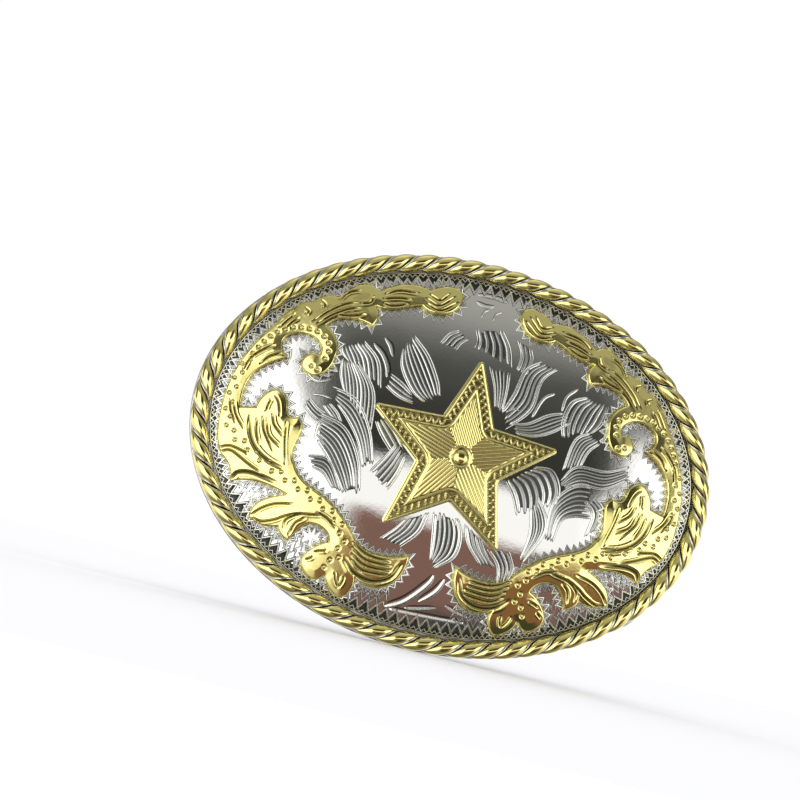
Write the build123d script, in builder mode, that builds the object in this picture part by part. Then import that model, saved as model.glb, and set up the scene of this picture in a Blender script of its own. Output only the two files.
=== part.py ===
"""Oval western dress buckle for a 38 mm strap, in millimetres.

Frame: +X along the buckle, +Z up, decorated face towards -Y. The origin is the centre of
the rear of the base plate. "Depth" is the distance in front of that rear face, so y = -depth.
"""

import os
from math import cos, radians, sin, sqrt

from build123d import *

os.makedirs("parts", exist_ok=True)

# Base plate: the flat oval that everything is soldered or riveted to
buckle_length = 96.0
buckle_height = 71.0
plate_thick = 1.0
plate_edge_radius = 0.3

# Rope edge: a round section soldered down on the plate, just inside its edge
rope_radius = 1.6
rope_inset = 1.65
rope_seat = 0.1

# Face plate: a shallow dome of sheet metal inside the rope
face_half_length = 44.6
face_half_height = 32.1
face_rim_depth = 2.4
face_crown_depth = 7.2
face_wall = 1.2
face_inner_rim_depth = 1.4

# Overlays on the face
scroll_thick = 1.0
star_thick = 1.8
star_centre_z = -0.5
star_tip_radius = 18.5
star_notch_radius = 8.0
star_corner_radius = 0.5

# Bail: a bent wire loop for a 38 mm strap, hinged on the back
bail_wire_radius = 1.5
bail_inner_width = 40.0
bail_bend_radius = 3.5
hinge_x = 22.0
hinge_y = 3.6
bar_x = 40.0
pivot_inner_z = 9.5

# Bail bracket: a leaf and a barrel, held by two rivets
barrel_clearance = 0.06
barrel_wall = 1.04
barrel_length = 30.0
leaf_left_x = 7.0
leaf_height = 26.0
leaf_thick = 1.0
leaf_corner_radius = 5.0
web_width = 3.6
bracket_rivet_x = 11.0
bracket_rivet_z = 8.0
bracket_rivet_radius = 1.25

# Prong: a leaning stud on an oval pad, on the side opposite the bail
prong_x = -33.0
prong_radius = 2.0
prong_length = 9.4
prong_lean = 25.0
prong_tip_round = 1.2
shoulder_radius = 2.5
shoulder_length = 2.6
collar_radius = 3.0
collar_thick = 0.8
pad_half_width = 5.0
pad_half_height = 9.0
pad_thick = 1.2
pad_rivet_z = 6.3
pad_rivet_radius = 1.0
spigot_radius = 1.25

# Rivets: a low domed head behind, and a flat tail closed up inside the hollow face
head_overhang = 0.95
head_rise = 0.9
tail_overhang = 0.6
tail_thick = 0.8


def on_plate(inset):
    """The half length and half height of an oval that far inside the plate's edge."""
    return buckle_length / 2 - inset, buckle_height / 2 - inset


def cap_drop(half_width, rise):
    """How far a round cap's surface has dropped below its crown, half way out to its rim."""
    ball = (half_width**2 + rise**2) / (2 * rise)
    return ball - sqrt(ball**2 - (half_width / 2) ** 2)


def dome(half_length, rim_depth, crown_depth):
    """A solid from the plate's front up to a shallow dome on an oval outline.

    A circle's arc is turned round the Y axis, and the result is flattened in Z.
    """
    mid = half_length / 2
    mid_depth = crown_depth - cap_drop(half_length, crown_depth - rim_depth)
    with BuildPart() as solid:
        with BuildSketch(Plane.XY):
            with BuildLine():
                Line((0, -plate_thick), (half_length, -plate_thick))
                Line((half_length, -plate_thick), (half_length, -rim_depth))
                ThreePointArc((half_length, -rim_depth), (mid, -mid_depth), (0, -crown_depth))
                Line((0, -crown_depth), (0, -plate_thick))
            make_face()
        revolve(axis=Axis.Y)
        scale(by=(1, 1, face_half_height / face_half_length))
    return solid.part


def overlay(thick):
    """The layer of that thickness that lies on the face plate."""
    with BuildPart() as layer:
        add(dome(face_half_length, face_rim_depth + thick, face_crown_depth + thick))
        add(dome(face_half_length, face_rim_depth, face_crown_depth), mode=Mode.SUBTRACT)
    return layer.part


def rivet(x, z, shank_radius, seat_y):
    """A rivet through the base plate: a domed head on seat_y and a flat tail inside the face."""
    head_radius = shank_radius + head_overhang
    tail_radius = shank_radius + tail_overhang
    tail_end = -plate_thick - tail_thick
    crown = seat_y + head_rise
    with BuildPart() as one:
        with BuildSketch(Plane.XY):
            with BuildLine():
                Polyline(
                    (0, crown),
                    (0, tail_end),
                    (tail_radius, tail_end),
                    (tail_radius, -plate_thick),
                    (shank_radius, -plate_thick),
                    (shank_radius, seat_y),
                    (head_radius, seat_y),
                )
                ThreePointArc(
                    (head_radius, seat_y),
                    (head_radius / 2, crown - cap_drop(head_radius, head_rise)),
                    (0, crown),
                )
            make_face()
        revolve(axis=Axis.Y)
    return one.part.moved(Location((x, 0, z)))


with BuildPart() as base_plate:
    with BuildSketch(Plane.XZ):
        Ellipse(*on_plate(0))
    extrude(amount=plate_thick)
    fillet(base_plate.faces().sort_by(Axis.Y)[-1].edges(), plate_edge_radius)
    with BuildSketch(Plane.XZ):
        with Locations((bracket_rivet_x, bracket_rivet_z), (bracket_rivet_x, -bracket_rivet_z)):
            Circle(bracket_rivet_radius)
        with Locations((prong_x, pad_rivet_z), (prong_x, -pad_rivet_z)):
            Circle(pad_rivet_radius)
        with Locations((prong_x, 0)):
            Circle(spigot_radius)
    extrude(amount=plate_thick, mode=Mode.SUBTRACT)

with BuildPart() as rope_edge:
    rope_half_length, rope_half_height = on_plate(rope_inset)
    with BuildLine(Plane.XZ.offset(plate_thick + rope_radius - rope_seat)) as rope_path:
        EllipticalCenterArc((0, 0), rope_half_length, rope_half_height, arc_size=360)
    with BuildSketch(rope_path.line ^ 0):
        Circle(rope_radius)
    sweep(path=rope_path.line)
    split(bisect_by=Plane.XZ.offset(plate_thick), keep=Keep.TOP)

with BuildPart() as face_plate:
    add(dome(face_half_length, face_rim_depth, face_crown_depth))
    add(
        dome(face_half_length - face_wall, face_inner_rim_depth, face_crown_depth - face_wall),
        mode=Mode.SUBTRACT,
    )

# The left scroll's edge, as runs from one cusp to the next, in (x, z). It starts at the
# round leaf at the top, goes out along the rim side, and comes back on the inner side.
scroll_runs = [
    [(-5.6, 27.5), (-6.3, 29.0), (-8.5, 29.2), (-11.5, 27.6)],
    [(-11.5, 27.6), (-14.5, 27.9), (-18.0, 26.8), (-20.5, 25.0)],
    [(-20.5, 25.0), (-23.0, 25.8), (-25.2, 24.6), (-27.0, 22.2)],
    [(-27.0, 22.2), (-29.6, 21.8), (-31.6, 20.2)],
    [(-31.6, 20.2), (-33.4, 19.4), (-35.6, 17.2), (-37.6, 14.0)],
    [(-37.6, 14.0), (-40.6, 8.8), (-42.4, 3.0), (-42.7, -2.8), (-42.2, -6.8), (-40.6, -10.2)],
    [(-40.6, -10.2), (-38.8, -11.8), (-38.0, -14.4)],
    [(-38.0, -14.4), (-35.0, -13.4), (-31.5, -13.4), (-28.0, -14.2)],
    [(-28.0, -14.2), (-31.0, -15.6), (-33.0, -17.6), (-33.2, -19.6)],
    [(-33.2, -19.6), (-30.6, -20.4), (-28.0, -20.0)],
    [(-28.0, -20.0), (-27.2, -21.2), (-25.6, -22.0)],
    [(-25.6, -22.0), (-24.4, -19.8), (-22.6, -18.2), (-20.4, -18.4), (-18.6, -20.4)],
    [(-18.6, -20.4), (-21.2, -22.2), (-22.5, -25.0), (-20.8, -27.2), (-17.8, -26.2)],
    [(-17.8, -26.2), (-16.5, -28.4), (-14.0, -29.3), (-12.6, -27.4), (-12.8, -25.2)],
    [(-12.8, -25.2), (-9.5, -26.4), (-6.3, -25.2), (-4.6, -22.4), (-4.4, -19.4)],
    [(-4.4, -19.4), (-8.5, -20.6), (-12.4, -20.2), (-15.0, -18.2)],
    [(-15.0, -18.2), (-17.6, -15.6), (-21.2, -13.2), (-25.6, -11.2), (-28.0, -8.6)],
    [(-28.0, -8.6), (-28.6, -5.0), (-28.4, -1.6), (-29.2, -0.6)],
    [(-29.2, -0.6), (-31.2, -0.4), (-32.0, 2.0), (-34.0, 3.3), (-36.0, 1.8), (-36.8, -0.6)],
    [(-36.8, -0.6), (-39.4, -1.2)],
    [(-39.4, -1.2), (-39.6, 2.0), (-38.6, 5.2), (-36.2, 7.6), (-33.2, 9.4)],
    [(-33.2, 9.4), (-35.0, 10.8), (-35.0, 12.4), (-33.6, 13.6), (-31.4, 14.2), (-29.2, 13.6)],
    [(-29.2, 13.6), (-28.2, 12.4), (-28.4, 11.0)],
    [(-28.4, 11.0), (-30.2, 10.8), (-31.0, 9.2), (-30.0, 7.6), (-27.8, 7.4), (-26.2, 9.0), (-25.6, 11.4)],
    [(-25.6, 11.4), (-25.8, 14.0), (-27.2, 15.8), (-28.4, 16.6)],
    [(-28.4, 16.6), (-26.4, 18.2), (-23.8, 18.9), (-20.6, 18.4)],
    [(-20.6, 18.4), (-19.8, 20.4), (-20.6, 22.2)],
    [(-20.6, 22.2), (-18.0, 22.3), (-15.2, 23.4), (-12.6, 24.4)],
    [(-12.6, 24.4), (-10.0, 23.6), (-7.2, 24.6), (-5.6, 27.5)],
]

with BuildPart() as scroll_left:
    with BuildSketch(Plane.XZ):
        with BuildLine():
            for run in scroll_runs:
                if len(run) > 2:
                    Spline(*run)
                else:
                    Line(*run)
        make_face()
    extrude(amount=face_crown_depth + scroll_thick)
    add(overlay(scroll_thick), mode=Mode.INTERSECT)

with BuildPart() as scroll_right:
    add(scroll_left.part)
    mirror(about=Plane.YZ, mode=Mode.REPLACE)

with BuildPart() as star_badge:
    with BuildSketch(Plane.XZ):
        with BuildLine():
            star_points = []
            for step in range(10):
                reach = star_notch_radius if step % 2 else star_tip_radius
                turn = radians(90 + 36 * step)
                star_points.append((reach * cos(turn), star_centre_z + reach * sin(turn)))
            Polyline(*star_points, close=True)
        make_face()
        fillet(vertices(), star_corner_radius)
    extrude(amount=face_crown_depth + star_thick)
    add(overlay(star_thick), mode=Mode.INTERSECT)

barrel_bore = bail_wire_radius + barrel_clearance
barrel_radius = barrel_bore + barrel_wall

with BuildPart() as bail_bracket:
    leaf_width = hinge_x + barrel_radius - leaf_left_x
    with BuildSketch(Plane.XZ):
        with Locations((leaf_left_x + leaf_width / 2, 0)):
            RectangleRounded(leaf_width, leaf_height, leaf_corner_radius)
    extrude(amount=-leaf_thick)
    with BuildSketch(Plane.XY.offset(-barrel_length / 2)):
        with Locations((hinge_x, hinge_y)):
            Circle(barrel_radius)
    extrude(amount=barrel_length)
    with BuildSketch(Plane.XY.offset(-leaf_height / 2 + leaf_corner_radius)):
        with Locations((hinge_x, hinge_y / 2)):
            Rectangle(web_width, hinge_y - leaf_thick)
    extrude(amount=leaf_height - 2 * leaf_corner_radius)
    with BuildSketch(Plane.XY.offset(-barrel_length / 2)):
        with Locations((hinge_x, hinge_y)):
            Circle(barrel_bore)
    extrude(amount=barrel_length, mode=Mode.SUBTRACT)
    with BuildSketch(Plane.XZ):
        with Locations((bracket_rivet_x, bracket_rivet_z), (bracket_rivet_x, -bracket_rivet_z)):
            Circle(bracket_rivet_radius)
    extrude(amount=-leaf_thick, mode=Mode.SUBTRACT)

with BuildPart() as bracket_rivets:
    for side in (1, -1):
        add(rivet(bracket_rivet_x, side * bracket_rivet_z, bracket_rivet_radius, leaf_thick))

with BuildPart() as bail_loop:
    leg_z = bail_inner_width / 2 + bail_wire_radius
    with BuildLine(Plane.XZ.offset(-hinge_y)) as bail_path:
        FilletPolyline(
            (hinge_x, pivot_inner_z),
            (hinge_x, leg_z),
            (bar_x, leg_z),
            (bar_x, -leg_z),
            (hinge_x, -leg_z),
            (hinge_x, -pivot_inner_z),
            radius=bail_bend_radius,
        )
    with BuildSketch(bail_path.line ^ 0):
        Circle(bail_wire_radius)
    sweep(path=bail_path.line)

with BuildPart() as prong_base:
    with BuildSketch(Plane.XZ):
        with Locations((prong_x, 0)):
            Ellipse(pad_half_width, pad_half_height)
    extrude(amount=-pad_thick)
    with BuildSketch(Plane.XZ):
        with Locations((prong_x, pad_rivet_z), (prong_x, -pad_rivet_z)):
            Circle(pad_rivet_radius)
        with Locations((prong_x, 0)):
            Circle(spigot_radius)
    extrude(amount=-pad_thick, mode=Mode.SUBTRACT)

with BuildPart() as prong_rivets:
    for side in (1, -1):
        add(rivet(prong_x, side * pad_rivet_z, pad_rivet_radius, pad_thick))

prong_way = Vector(sin(radians(prong_lean)), cos(radians(prong_lean)), 0)
prong_root = Vector(prong_x, pad_thick, 0)

with BuildPart() as prong:
    # the leaning stud, with a rounded tip and a thicker shoulder cut level with the pad
    with BuildSketch(Plane(prong_root, z_dir=prong_way)):
        Circle(prong_radius)
    extrude(amount=prong_length)
    fillet(prong.edges().filter_by(GeomType.CIRCLE).sort_by(Axis.Y)[-1], prong_tip_round)
    with BuildSketch(Plane(prong_root - prong_way * shoulder_radius, z_dir=prong_way)):
        Circle(shoulder_radius)
    extrude(amount=shoulder_length + shoulder_radius)
    split(bisect_by=Plane.XZ.offset(-pad_thick), keep=Keep.BOTTOM)
    # the collar on the pad, and the spigot that goes through the plate to a closed tail
    with BuildSketch(Plane.XZ.offset(-pad_thick)):
        with Locations((prong_x, 0)):
            Circle(collar_radius)
    extrude(amount=-collar_thick)
    with BuildSketch(Plane.XZ.offset(-pad_thick)):
        with Locations((prong_x, 0)):
            Circle(spigot_radius)
    extrude(amount=pad_thick + plate_thick)
    with BuildSketch(Plane.XZ.offset(plate_thick)):
        with Locations((prong_x, 0)):
            Circle(spigot_radius + tail_overhang)
    extrude(amount=tail_thick)

finished = {
    "base_plate": base_plate,
    "rope_edge": rope_edge,
    "face_plate": face_plate,
    "scroll_left": scroll_left,
    "scroll_right": scroll_right,
    "star_badge": star_badge,
    "bail_bracket": bail_bracket,
    "bracket_rivets": bracket_rivets,
    "bail_loop": bail_loop,
    "prong_base": prong_base,
    "prong_rivets": prong_rivets,
    "prong": prong,
}
for name, piece in finished.items():
    piece.part.label = name
    export_step(piece.part, f"parts/{name}.step")
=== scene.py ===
from math import cos, pi, radians, sin

import bmesh
import bpy
import numpy as np
from mathutils import Matrix, Vector


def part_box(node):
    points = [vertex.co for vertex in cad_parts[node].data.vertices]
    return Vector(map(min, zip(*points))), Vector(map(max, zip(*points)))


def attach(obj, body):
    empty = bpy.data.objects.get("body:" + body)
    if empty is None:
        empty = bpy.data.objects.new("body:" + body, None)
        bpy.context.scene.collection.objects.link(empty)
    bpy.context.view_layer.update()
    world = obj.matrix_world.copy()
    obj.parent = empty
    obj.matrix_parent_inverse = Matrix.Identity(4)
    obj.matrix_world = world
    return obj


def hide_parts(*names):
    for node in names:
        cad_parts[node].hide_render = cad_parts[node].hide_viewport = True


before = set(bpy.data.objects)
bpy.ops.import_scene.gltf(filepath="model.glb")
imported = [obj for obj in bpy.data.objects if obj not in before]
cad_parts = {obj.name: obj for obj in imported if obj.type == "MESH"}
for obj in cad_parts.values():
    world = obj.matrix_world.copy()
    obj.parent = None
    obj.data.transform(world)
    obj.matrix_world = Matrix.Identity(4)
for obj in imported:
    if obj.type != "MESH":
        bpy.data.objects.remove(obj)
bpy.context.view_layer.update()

# ---- Base plate --------------------------------------------------
# The flat back of the buckle: an oval blanked from sheet, 1 mm thick, its edge tumbled round, then silver
# plated and left satin. It carries the hardware at the rear, and the rope edge and the face in front.

MM = 0.001


def linear(code, gain=1.0):
    """sRGB hex to a linear colour: c / 12.92 below 0.04045, otherwise ((c + 0.055) / 1.055) ** 2.4."""
    c = np.array([int(code[k:k + 2], 16) for k in (1, 3, 5)]) / 255
    c = np.where(c <= 0.04045, c / 12.92, ((c + 0.055) / 1.055) ** 2.4) * gain
    return (*c, 1.0)


def add(tree, kind, inputs=None, **settings):
    """Adds a node, sets its properties, and fills each named input with a value or links it to a socket."""
    node = tree.nodes.new(kind)
    for name, value in settings.items():
        setattr(node, name, value)
    for name, value in (inputs or {}).items():
        if isinstance(value, bpy.types.NodeSocket):
            tree.links.new(value, node.inputs[name])
        else:
            node.inputs[name].default_value = value
    return node


patch_size, swell_size, scratch_depth = 9 * MM, 6 * MM, 0.012 * MM


def plated(name, high, low, rough, grit, brushed=(1, 1, 1), wave=0.3, worn=0.05):
    """A polished and plated metal: colour falls from high to low in patches of tarnish and in recesses, where
    the fall is painted shade; roughness varies with handling, and two bumps give the waviness of the polish
    and fine scratches of pitch grit mm."""
    material = bpy.data.materials.new(name)
    material.use_nodes = True
    tree = material.node_tree
    tree.nodes.clear()
    place = add(tree, "ShaderNodeTexCoord").outputs["Object"]
    # The recess attribute is painted shade in grooves and hollows; with the tarnish patches it pulls the
    # colour from high towards low.
    recess = add(tree, "ShaderNodeAttribute", attribute_name="recess").outputs["Fac"]
    patch = add(tree, "ShaderNodeTexNoise", {"Vector": place, "Scale": 1 / patch_size, "Detail": 3.0})
    tarnish = add(tree, "ShaderNodeMath", {0: patch.outputs["Fac"], 1: worn}, operation="MULTIPLY")
    depth = add(tree, "ShaderNodeMath", {0: recess, 1: tarnish.outputs[0]}, operation="ADD", use_clamp=True)
    colour = add(tree, "ShaderNodeMix", {0: depth.outputs[0], 6: linear(high), 7: linear(low)},
                 data_type="RGBA")
    stretch = add(tree, "ShaderNodeMapping", {"Vector": place, "Scale": brushed})
    scratch = add(tree, "ShaderNodeTexNoise",
                  {"Vector": stretch.outputs[0], "Scale": 1 / (grit * MM), "Detail": 2.0})
    swell = add(tree, "ShaderNodeTexNoise", {"Vector": place, "Scale": 1 / swell_size, "Detail": 1.0})
    polish = add(tree, "ShaderNodeBump", {"Height": swell.outputs["Fac"], "Strength": 0.35,
                                          "Distance": wave * MM})
    scratched = add(tree, "ShaderNodeBump", {"Height": scratch.outputs["Fac"], "Strength": 0.3,
                                             "Distance": scratch_depth, "Normal": polish.outputs[0]})
    handled = add(tree, "ShaderNodeMapRange", {
        "Value": scratch.outputs["Fac"], "From Min": 0.3, "From Max": 0.7, "To Min": rough * 0.7,
        "To Max": rough * 1.4})
    dull = add(tree, "ShaderNodeMath", {0: depth.outputs[0], 1: 0.25, 2: handled.outputs[0]},
               operation="MULTIPLY_ADD", use_clamp=True)
    shader = add(tree, "ShaderNodeBsdfPrincipled", {
        "Base Color": colour.outputs[2], "Metallic": 1.0, "Roughness": dull.outputs[0],
        "Normal": scratched.outputs[0]})
    add(tree, "ShaderNodeOutputMaterial", {"Surface": shader.outputs[0]})
    return material


def piece(name, surface, material, node, body="buckle", sharp=50):
    """Makes one closed mesh from a surface of points in mm, quads, triangles and recess, turns its faces
    outwards, keeps edges over the sharp angle crisp, hangs it on its body's empty, and hides the CAD part it
    stands for."""
    points, quads, tris, recess = surface
    mesh = bpy.data.meshes.new(name)
    corners = np.concatenate([np.ravel(quads), np.ravel(tris)]).astype(np.int32)
    starts = np.concatenate([4 * np.arange(len(quads)), 4 * len(quads) + 3 * np.arange(len(tris))])
    mesh.vertices.add(len(points))
    mesh.vertices.foreach_set("co", (points * MM).astype(np.float32).ravel())
    mesh.loops.add(len(corners))
    mesh.loops.foreach_set("vertex_index", corners)
    mesh.polygons.add(len(starts))
    mesh.polygons.foreach_set("loop_start", starts.astype(np.int32))
    mesh.attributes.new("recess", "FLOAT", "POINT").data.foreach_set("value", recess.astype(np.float32))
    mesh.update(calc_edges=True)
    turned = bmesh.new()
    turned.from_mesh(mesh)
    bmesh.ops.recalc_face_normals(turned, faces=turned.faces)
    turned.to_mesh(mesh)
    turned.free()
    mesh.shade_smooth()
    mesh.set_sharp_from_angle(angle=radians(sharp))
    mesh.materials.append(material)
    made = bpy.data.objects.new(name, mesh)
    bpy.context.scene.collection.objects.link(made)
    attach(made, body)
    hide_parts(node)


def shell(points, quads, tris=(), recess=None):
    """Points, quads and triangles as arrays, with no recess anywhere unless one is given."""
    points = np.asarray(points, float).reshape(-1, 3)
    recess = np.zeros(len(points)) if recess is None else np.ravel(recess)
    return points, np.asarray(quads, int).reshape(-1, 4), np.asarray(tris, int).reshape(-1, 3), recess


def lathe(grid, recess=None):
    """A closed shell from a grid of rings: quads between neighbours, and a fan to the middle of each end."""
    rows, around = grid.shape[:2]
    index = np.arange(rows * around).reshape(rows, around)
    after = np.roll(index, -1, axis=1)
    quads = np.stack([index[:-1], after[:-1], after[1:], index[1:]], -1)
    ends = rows * around + np.zeros((1, around), int)
    fans = np.concatenate([np.stack([ends[0], after[0], index[0]], -1),
                           np.stack([ends[0] + 1, index[-1], after[-1]], -1)])
    points = np.concatenate([grid.reshape(-1, 3), grid[[0, -1]].mean(1)])
    marks = None if recess is None else np.append(np.ravel(recess), [np.mean(recess[0]), np.mean(recess[-1])])
    return shell(points, quads, fans, marks)


def oval(reach, depth, a, b, around=288):
    """Rings on an oval of semi-axes a and b: x = a reach cos t, z = b reach sin t, y = -depth."""
    t = np.linspace(0, 2 * pi, around, endpoint=False)
    reach, depth = np.broadcast_arrays(np.asarray(reach, float)[:, None], np.asarray(depth, float))
    return np.stack([a * reach * np.cos(t), -depth * np.ones((1, around)), b * reach * np.sin(t)], -1)


low, high = (np.array(corner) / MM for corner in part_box("base_plate"))
plate_a, plate_b = (high - low)[[0, 2]] / 2
plate_thick = high[1] - low[1]
edge_radius = 0.3
quarter = np.linspace(0, pi / 2, 7)
round_in = 1 - edge_radius * (1 - np.sin(quarter)) / plate_a
round_up = edge_radius * (1 - np.cos(quarter))
fill = np.linspace(0.03, 1 - edge_radius / plate_a, 12)[:-1]
plate_reach = np.concatenate([fill, round_in, round_in[::-1], fill[::-1]])
plate_depth = np.concatenate([0 * fill, round_up, plate_thick - round_up[::-1], plate_thick + 0 * fill])
# Silver plate over a belt-ground back: fine parallel lines along the length, and a soft reflection.
satin_plate = plated("satin_silver_plate", "#CFCCC4", "#7C776E", 0.3, 0.35, brushed=(0.06, 1, 1), worn=0.35)
piece("base_plate_oval", lathe(oval(plate_reach, plate_depth[:, None], plate_a, plate_b)), satin_plate,
      "base_plate")

# ---- Face plate --------------------------------------------------
# The silver face: thin brass sheet pressed to a low dome, bright silver plated and polished like a mirror
# before it is engraved. The lines of the engraving, painted dark as shade, and the bright dome between them
# make the contrast.

low, high = (np.array(corner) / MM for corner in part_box("face_plate"))
face_a, face_b = (high - low)[[0, 2]] / 2
crown = -low[1]
rim_wall = 1.4
rise = crown - plate_thick - rim_wall
ball = (face_a ** 2 + rise ** 2) / (2 * rise)


def dome(x, z):
    """How far the face stands in front of the back: crown - R + sqrt(R^2 - x^2 - (z a / b)^2)."""
    square = np.minimum(x ** 2 + (z * face_a / face_b) ** 2, face_a ** 2)
    return crown - ball + np.sqrt(ball ** 2 - square)


# Rings from the crown to the rim. One more lies just inside it, and three turn down there as a lip.
crown_ring, last_ring = 0.012, 0.9965
lip_drop = np.array([0.06, 0.3, 1.0])
seat_gap = 0.02
rings = np.concatenate([np.linspace(crown_ring, 1, 96)[:-1], [last_ring], 0 * lip_drop + 1])
face = oval(rings, 0.0, face_a, face_b)
face[..., 1] = -dome(face[..., 0], face[..., 2])
face[-3:, :, 1] += lip_drop[:, None]
base_ring = face[-1:].copy()
base_ring[..., 1] = -plate_thick + seat_gap
inner_ring = base_ring * (0.5, 1, 0.5)
# Bright silver plate: near-white and clear as a mirror, with the faint swell of hand polishing. Its dark grey
# is painted shade where its wires lie in the rope's hollows, and faint tarnish.
bright_silver = plated("bright_silver_plate", "#F1EFEA", "#33322F", 0.035, 0.5, wave=0.08, worn=0.04)
piece("face_dome", lathe(np.concatenate([face, base_ring, inner_ring])), bright_silver, "face_plate",
      sharp=35)

# ---- Engraved border ---------------------------------------------
# Wriggle work round the edge of the face: a flat graver walked from side to side cuts a running zigzag, a
# bright burr on a dulled ground that is painted dark as shade. A bold row, a fine row and a line follow the
# edge, and more rows fill the corners below the scrolls.

rng = np.random.default_rng(7)
# The cut silver: no longer a mirror, a soft greenish grey from every side, and painted shade near black in
# the deep ground.
cut_silver = plated("bright_cut_silver", "#F6F8F0", "#10110F", 0.2, 0.3, wave=0.05, worn=0.08)
# A cut's section, from its right edge to its left one and down to a keel under the silver: how far out each
# point lies, how high it stands and how dark it is painted as shade. In a wide cut the graver leans, and
# leaves a bright slope beside a groove painted black as shade. A narrow one is a bright burr, its sides
# painted dark as shade.
foot_up, keel_up = -0.06, -0.25
cut_across = np.array([-1.0, -0.7, -0.35, 0.0, 0.35, 0.7, 1.0, 0.0])
wide_up = np.array([foot_up, 0.15, 0.09, 0.02, -0.02, 0.04, foot_up, keel_up])
wide_shade = np.array([1.0, 0.0, 0.0, 0.05, 1.0, 0.9, 1.0, 1.0])
narrow_up = np.array([foot_up, 0.04, 0.11, 0.15, 0.11, 0.04, foot_up, keel_up])
narrow_shade = np.array([1.0, 0.8, 0.1, 0.0, 0.1, 0.8, 1.0, 1.0])
wide_from = 1.1
mitre_limit = 0.55
tip_length, tip_start, tip_up = 1.5, 0.06, 0.35


def joined(shells):
    """Several shells as one: the points follow each other, and the faces count on from those before."""
    points, quads, tris, recess = zip(*shells)
    first = np.cumsum([0] + [len(p) for p in points[:-1]])
    return shell(np.concatenate(points), np.concatenate([q + k for q, k in zip(quads, first)]),
                 np.concatenate([t + k for t, k in zip(tris, first)]), np.concatenate(recess))


def looped(grid, recess):
    """A closed shell from a grid that runs round both ways, with quads between neighbouring points."""
    index = np.arange(recess.size).reshape(recess.shape)
    side = np.roll(index, -1, axis=1)
    return shell(grid, np.stack([index, side, np.roll(side, -1, axis=0), np.roll(index, -1, axis=0)], -1),
                 recess=recess)


def on_dome(flat, up):
    """Flat points (x, z) laid on the dome and raised: (x, -(dome + up), z)."""
    x, z = flat[..., 0], flat[..., 1]
    return np.stack([x, -dome(x, z) - up, z], -1)


def unit(v):
    """Vectors brought to a length of 1."""
    return v / (np.linalg.norm(v, axis=-1, keepdims=True) + 1e-9)


def length_along(path):
    """The distance along a path from its first point to each of its points."""
    return np.append(0, np.cumsum(np.linalg.norm(np.diff(path, axis=0), axis=1)))


def cut(path, width, closed=False, high=1.0, tone=0.0):
    """A graver's stroke on the dome: point = path + across * half width * normal, raised by up * high, with
    a mitred normal at corners. An open stroke's half width follows a round end and closes on a tip. The
    tone dulls all of it."""
    if closed:
        ahead, behind = np.roll(path, -1, axis=0) - path, path - np.roll(path, 1, axis=0)
    else:
        ahead = np.diff(path, axis=0, append=path[-1:])
        behind = np.diff(path, axis=0, prepend=path[:1])
        ahead[-1], behind[0] = behind[-1], ahead[0]
    ahead = unit(ahead)
    way = unit(ahead + unit(behind))
    half = width / 2 / np.maximum(np.sum(way * ahead, axis=1), mitre_limit)
    normal = np.stack([-way[:, 1], way[:, 0]], 1)
    lift = np.full(len(path), high)
    if not closed:
        run = length_along(path)
        near_end = np.minimum(run, run[-1] - run) / (tip_length * width)
        taper = np.sqrt(1 - (1 - np.clip(near_end, tip_start, 1)) ** 2)
        half, lift = half * taper, lift * (tip_up + (1 - tip_up) * taper)
    up, dark = (wide_up, wide_shade) if width > wide_from else (narrow_up, narrow_shade)
    flat = path[:, None] + cut_across[:, None] * (half[:, None] * normal)[:, None]
    grid = on_dome(flat, up * lift[:, None])
    # The section's painted shade, raised to the stroke's tone where that is darker.
    recess = np.broadcast_to(np.maximum(dark, tone), grid.shape[:2])
    return looped(grid, recess) if closed else lathe(grid, recess)


def oval_inside(t, inset):
    """Points inside the face's edge: the oval's point at t, less inset times its unit normal."""
    rim = np.stack([face_a * np.cos(t), face_b * np.sin(t)], -1)
    normal = unit(np.stack([np.cos(t) / face_a, np.sin(t) / face_b], -1))
    return rim - normal * np.asarray(inset)[..., None]


def even_turns(a, b, count):
    """Angles that space count points evenly round an oval: its arc length, summed finely, read backwards."""
    t = np.linspace(0, 2 * pi, 4001)
    run = length_along(np.stack([a * np.cos(t), b * np.sin(t)], 1))
    return np.interp(np.arange(count) / count * run[-1], run, t)


def zigzag(teeth, valley, tip, width, high):
    """A closed wriggle cut of that many teeth between two insets, each corner moved a little by the hand."""
    t = even_turns(face_a, face_b, 2 * teeth)
    inset = np.where(np.arange(2 * teeth) % 2, valley, tip)
    inset = inset + rng.normal(0, ring_stray * (tip - valley), 2 * teeth)
    return cut(oval_inside(t, inset), width, closed=True, high=high)


def ring_ground(inner, outer, up, dark):
    """A dulled band on the dome, painted dark as shade, between two closed rows of points, closed below it.
    """
    share = np.array([0.0, 0.02, 0.5, 0.98, 1.0, 0.5])[:, None]
    lift = np.array([foot_up, up, up, up, foot_up, keel_up])
    flat = inner[:, None] * (1 - share) + outer[:, None] * share
    return looped(on_dome(flat, lift), np.full(flat.shape[:2], dark))


def filler(first, last, valley, tip, teeth):
    """An open wriggle cut from one angle of the oval to another, in degrees, in a corner below a scroll."""
    inset = np.where(np.arange(2 * teeth) % 2, valley, tip) + rng.normal(0, filler_stray, 2 * teeth)
    return cut(oval_inside(np.radians(np.linspace(first, last, 2 * teeth)), inset), filler_width)


# Valleys and tips are so far in from the face's edge, in mm. A ring's corners stray by a share of its depth.
border_teeth = 124
bold_row = {"valley": 0.95, "tip": 2.55, "width": 0.66, "high": 1.8}
fine_row = {"valley": 0.3, "tip": 0.85, "width": 0.32, "high": 0.9}
ring_stray = 0.09
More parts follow.
